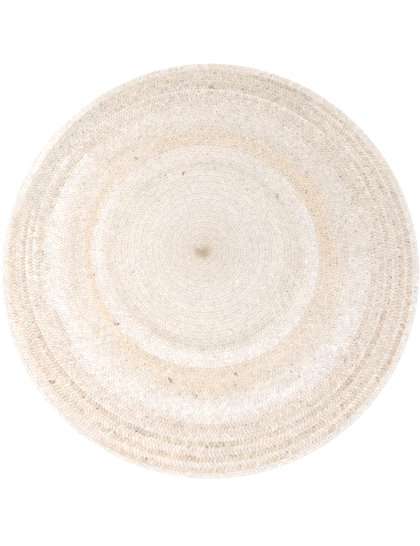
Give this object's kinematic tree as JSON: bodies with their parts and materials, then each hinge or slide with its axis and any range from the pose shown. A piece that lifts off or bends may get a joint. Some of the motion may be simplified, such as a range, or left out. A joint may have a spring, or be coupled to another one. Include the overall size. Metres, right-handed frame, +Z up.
{
  "type": "round jute rug",
  "caption": "Round flat rug of jute, a long three-strand braid wound clockwise in a flat spiral and sewn edge to edge, in cream, white, peach and taupe bands, to lie on a floor.",
  "frame": {"origin": "middle of the rug's round, at the eye of the coil, on the flat underside that lies on the floor", "axes": "+Z up out of the floor through the rug's thickness; +Y towards the top edge of the picture and +X to its right"},
  "size_m": [1.4889, 1.5054, 0.009],
  "materials": {
    "jute_braid": "matt bleached and natural jute fibre, loosely spun and braided, uneven in colour",
    "sewing_thread": "matt twisted thread, almost hidden in the seams between the turns"
  },
  "bodies": {
    "root": {"braided_coil": "jute_braid"}
  },
  "joints": []
}
